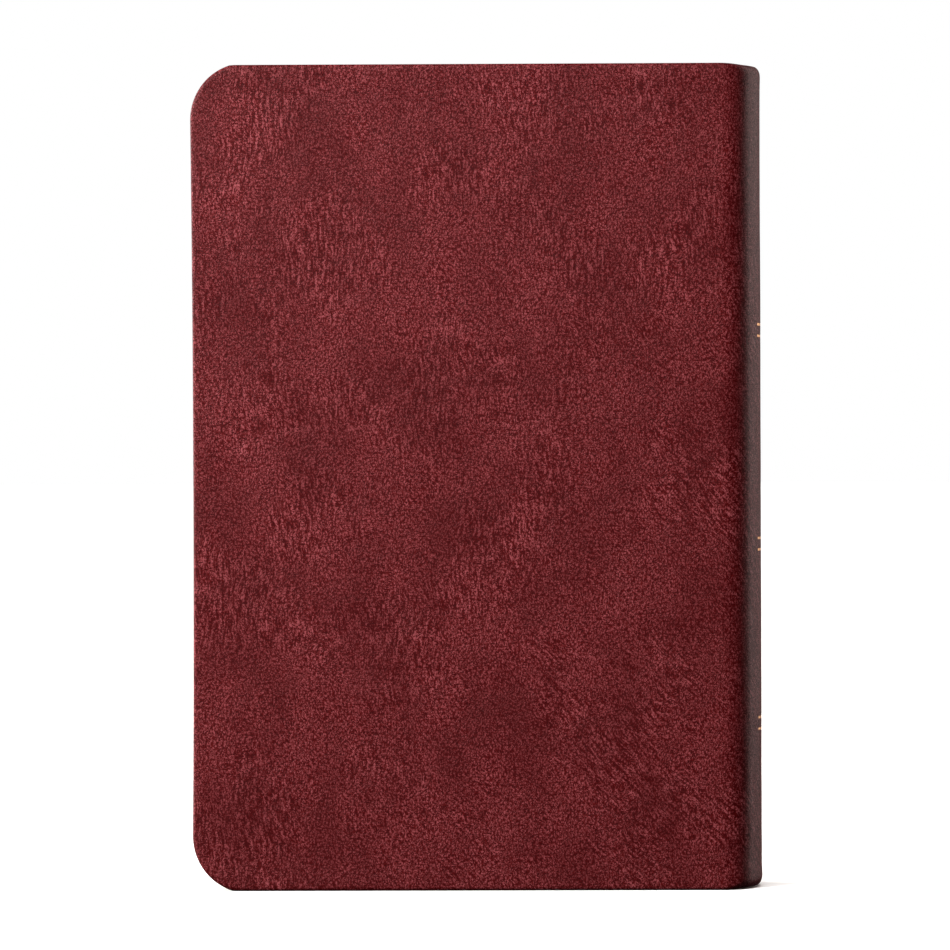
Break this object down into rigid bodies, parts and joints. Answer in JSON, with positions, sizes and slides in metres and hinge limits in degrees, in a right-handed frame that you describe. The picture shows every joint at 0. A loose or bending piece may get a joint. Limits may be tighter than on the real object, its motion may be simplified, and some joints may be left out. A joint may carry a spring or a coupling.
{
  "type": "prayer book",
  "caption": "Small upright prayer book: flexible burgundy leather cover with rounded corners and spine, gold spine rules, gilt text block; covers and middle opening turn.",
  "frame": {"origin": "middle of the closed book's footprint, at the height of its tail edges", "axes": "+X towards the spine, -Y out of the back cover, +Z from tail to head"},
  "size_m": [0.1142, 0.025, 0.1651],
  "materials": {
    "cover_leather": "satin",
    "binders_board": "matte",
    "endpaper": "matte",
    "book_paper": "matte",
    "gold_foil": "polished",
    "mull_cloth": "matte",
    "lining_paper": "matte",
    "headband_silk": "satin",
    "linen_thread": "matte"
  },
  "bodies": {
    "rear_block": {"signature_09": "book_paper", "signature_10": "book_paper", "signature_11": "book_paper", "signature_12": "book_paper", "signature_13": "book_paper", "signature_14": "book_paper", "signature_15": "book_paper", "signature_16": "book_paper", "sewing_thread_rear": "linen_thread", "spine_leather": "cover_leather", "spine_rules": "gold_foil", "spine_inlay": "binders_board", "spine_lining": "lining_paper", "mull": "mull_cloth", "headband": "headband_silk", "tailband": "headband_silk"},
    "front_block": {"signature_01": "book_paper", "signature_02": "book_paper", "signature_03": "book_paper", "signature_04": "book_paper", "signature_05": "book_paper", "signature_06": "book_paper", "signature_07": "book_paper", "signature_08": "book_paper", "sewing_thread_front": "linen_thread"},
    "back_cover": {"back_cover_leather": "cover_leather", "back_board": "binders_board", "back_pastedown": "endpaper"},
    "front_cover": {"front_cover_leather": "cover_leather", "front_board": "binders_board", "front_pastedown": "endpaper"},
    "back_flyleaf": {"back_flyleaf": "endpaper"},
    "front_flyleaf": {"front_flyleaf": "endpaper"},
    "centre_leaf_1": {"centre_leaf_1": "book_paper"},
    "centre_leaf_2": {"centre_leaf_2": "book_paper"},
    "centre_leaf_3": {"centre_leaf_3": "book_paper"},
    "centre_leaf_4": {"centre_leaf_4": "book_paper"},
    "centre_leaf_5": {"centre_leaf_5": "book_paper"}
  },
  "joints": [
    {"name": "back_cover_hinge", "type": "hinge", "parent": "rear_block", "child": "back_cover", "pos_m": [0.04868, -0.0125, 0.08255], "axis": [0, 0, 1], "range_deg": [0, 95]},
    {"name": "front_cover_hinge", "type": "hinge", "parent": "front_block", "child": "front_cover", "pos_m": [0.04868, 0.0125, 0.08255], "axis": [0, 0, -1], "range_deg": [0, 95]},
    {"name": "book_opening", "type": "hinge", "parent": "rear_block", "child": "front_block", "pos_m": [0.05515, 0, 0.08255], "axis": [0, 0, -1], "range_deg": [0, 170], "deforming": ["spine_leather", "spine_rules", "spine_inlay", "spine_lining", "mull", "headband", "tailband"]},
    {"name": "back_flyleaf_turn", "type": "hinge", "parent": "rear_block", "child": "back_flyleaf", "pos_m": [0.04903, -0.0095, 0.08255], "axis": [0, 0, 1], "range_deg": [0, 47.5]},
    {"name": "front_flyleaf_turn", "type": "hinge", "parent": "front_block", "child": "front_flyleaf", "pos_m": [0.04903, 0.0095, 0.08255], "axis": [0, 0, -1], "range_deg": [0, 47.5]},
    {"name": "centre_leaf_1_turn", "type": "hinge", "parent": "rear_block", "child": "centre_leaf_1", "pos_m": [0.05515, 0, 0.08255], "axis": [0, 0, -1], "range_deg": [0, 27.2]},
    {"name": "centre_leaf_2_turn", "type": "hinge", "parent": "rear_block", "child": "centre_leaf_2", "pos_m": [0.05515, 0, 0.08255], "axis": [0, 0, -1], "range_deg": [0, 57.8]},
    {"name": "centre_leaf_3_turn", "type": "hinge", "parent": "rear_block", "child": "centre_leaf_3", "pos_m": [0.05515, 0, 0.08255], "axis": [0, 0, -1], "range_deg": [0, 85]},
    {"name": "centre_leaf_4_turn", "type": "hinge", "parent": "rear_block", "child": "centre_leaf_4", "pos_m": [0.05515, 0, 0.08255], "axis": [0, 0, -1], "range_deg": [0, 112.2]},
    {"name": "centre_leaf_5_turn", "type": "hinge", "parent": "rear_block", "child": "centre_leaf_5", "pos_m": [0.05515, 0, 0.08255], "axis": [0, 0, -1], "range_deg": [0, 142.8]}
  ],
  "couplings": [
    {"joint": "back_flyleaf_turn", "follows": "back_cover_hinge", "ratio": 0.5},
    {"joint": "front_flyleaf_turn", "follows": "front_cover_hinge", "ratio": 0.5},
    {"joint": "centre_leaf_1_turn", "follows": "book_opening", "ratio": 0.16},
    {"joint": "centre_leaf_2_turn", "follows": "book_opening", "ratio": 0.34},
    {"joint": "centre_leaf_3_turn", "follows": "book_opening", "ratio": 0.5},
    {"joint": "centre_leaf_4_turn", "follows": "book_opening", "ratio": 0.66},
    {"joint": "centre_leaf_5_turn", "follows": "book_opening", "ratio": 0.84}
  ]
}
